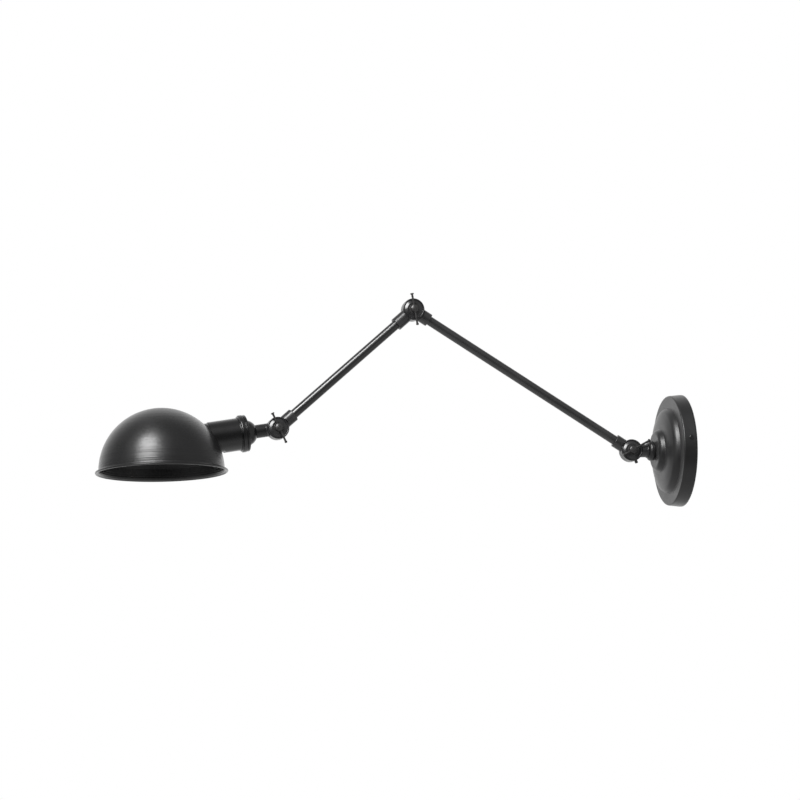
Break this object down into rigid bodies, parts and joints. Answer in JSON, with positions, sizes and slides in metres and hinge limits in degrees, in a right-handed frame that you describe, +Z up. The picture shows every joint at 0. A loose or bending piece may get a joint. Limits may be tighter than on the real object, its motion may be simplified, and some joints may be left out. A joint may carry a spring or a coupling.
{
  "type": "articulating wall lamp",
  "caption": "Wall lamp with a stepped round wall plate, jointed tube arms held by knuckles with cross-bar screws, and a tilting domed shade on a short horizontal neck.",
  "frame": {"origin": "centre of the wall plate's back, in the plane of the wall", "axes": "+X into the wall, so the lamp reaches towards -X; +Z up; every arm hinge axis lies along Y at rest, with the heads of the clamping screws on the -Y side"},
  "size_m": [0.6915, 0.151, 0.2485],
  "materials": {
    "black_paint": "satin",
    "blackened_steel": "satin",
    "zinc_steel": "satin",
    "brass": "satin",
    "porcelain": "gloss",
    "white_plastic": "matte",
    "fibre": "matte",
    "lead_insulation": "matte"
  },
  "bodies": {
    "wall_mount": {"wall_plate": "black_paint", "wall_bracket": "zinc_steel", "plate_screws": "blackened_steel", "terminal_block": "white_plastic", "terminal_screws": "zinc_steel", "earth_screw": "brass", "wall_collar": "black_paint", "wall_nipple": "zinc_steel", "toothed_washer": "zinc_steel", "wall_lock_nut": "zinc_steel", "wall_lead": "lead_insulation"},
    "swivel": {"wall_knuckle_base": "black_paint", "wall_stop_pin": "black_paint", "wall_friction_washer": "fibre", "wall_screw_washer": "blackened_steel"},
    "upper_arm": {"wall_knuckle_arm": "black_paint", "wall_clamp_nut": "blackened_steel", "upper_arm_tube": "black_paint", "upper_arm_lead": "lead_insulation", "elbow_knuckle_upper": "black_paint", "elbow_clamp_nut": "blackened_steel"},
    "lower_arm": {"elbow_knuckle_lower": "black_paint", "elbow_friction_washer": "fibre", "elbow_screw_washer": "blackened_steel", "lower_arm_tube": "black_paint", "lower_arm_lead": "lead_insulation", "head_knuckle_arm": "black_paint", "head_friction_washer": "fibre", "head_screw_washer": "blackened_steel"},
    "head": {"head_knuckle_socket": "black_paint", "head_clamp_nut": "blackened_steel", "head_sleeve": "black_paint", "back_cap": "black_paint", "cap_lock_nut": "zinc_steel", "collar_ring": "black_paint", "neck": "black_paint", "shade": "black_paint", "lampholder_body": "porcelain", "lampholder_screws": "zinc_steel", "screw_shell": "brass", "centre_contact": "brass", "head_lead": "lead_insulation"},
    "wall_screw": {"wall_clamp_screw": "blackened_steel"},
    "elbow_screw": {"elbow_clamp_screw": "blackened_steel"},
    "head_screw": {"head_clamp_screw": "blackened_steel"},
    "wall_bar": {"wall_tommy_bar": "blackened_steel"},
    "elbow_bar": {"elbow_tommy_bar": "blackened_steel"},
    "head_bar": {"head_tommy_bar": "blackened_steel"}
  },
  "joints": [
    {"name": "wall_swivel", "type": "hinge", "parent": "wall_mount", "child": "swivel", "pos_m": [-0.045, 0, 0], "axis": [1, 0, 0], "range_deg": [-165, 165]},
    {"name": "wall_hinge", "type": "hinge", "parent": "swivel", "child": "upper_arm", "pos_m": [-0.0612, 0, 0], "axis": [0, -1, 0], "range_deg": [-57, 100]},
    {"name": "elbow_hinge", "type": "hinge", "parent": "upper_arm", "child": "lower_arm", "pos_m": [-0.31769, 0, 0.16467], "axis": [0, 1, 0], "range_deg": [-32, 178]},
    {"name": "head_hinge", "type": "hinge", "parent": "lower_arm", "child": "head", "pos_m": [-0.48103, 0, 0.02516], "axis": [0, 1, 0], "range_deg": [-137.5, 73.5]},
    {"name": "wall_screw_turn", "type": "hinge", "parent": "swivel", "child": "wall_screw", "pos_m": [-0.0612, -0.009, 0], "axis": [0, -1, 0], "range_deg": [0, 300]},
    {"name": "elbow_screw_turn", "type": "hinge", "parent": "lower_arm", "child": "elbow_screw", "pos_m": [-0.31769, -0.009, 0.16467], "axis": [0, -1, 0], "range_deg": [0, 360]},
    {"name": "head_screw_turn", "type": "hinge", "parent": "lower_arm", "child": "head_screw", "pos_m": [-0.48103, -0.009, 0.02516], "axis": [0, -1, 0], "range_deg": [0, 360]},
    {"name": "wall_bar_slide", "type": "slide", "parent": "wall_screw", "child": "wall_bar", "axis": [0.8829, 0, 0.4695], "range_m": [-0.0176, 0.0078]},
    {"name": "elbow_bar_slide", "type": "slide", "parent": "elbow_screw", "child": "elbow_bar", "axis": [-0.1495, 0, 0.9888], "range_m": [-0.0123, 0.0131]},
    {"name": "head_bar_slide", "type": "slide", "parent": "head_screw", "child": "head_bar", "axis": [0.4067, 0, -0.9135], "range_m": [-0.0131, 0.0123]}
  ]
}
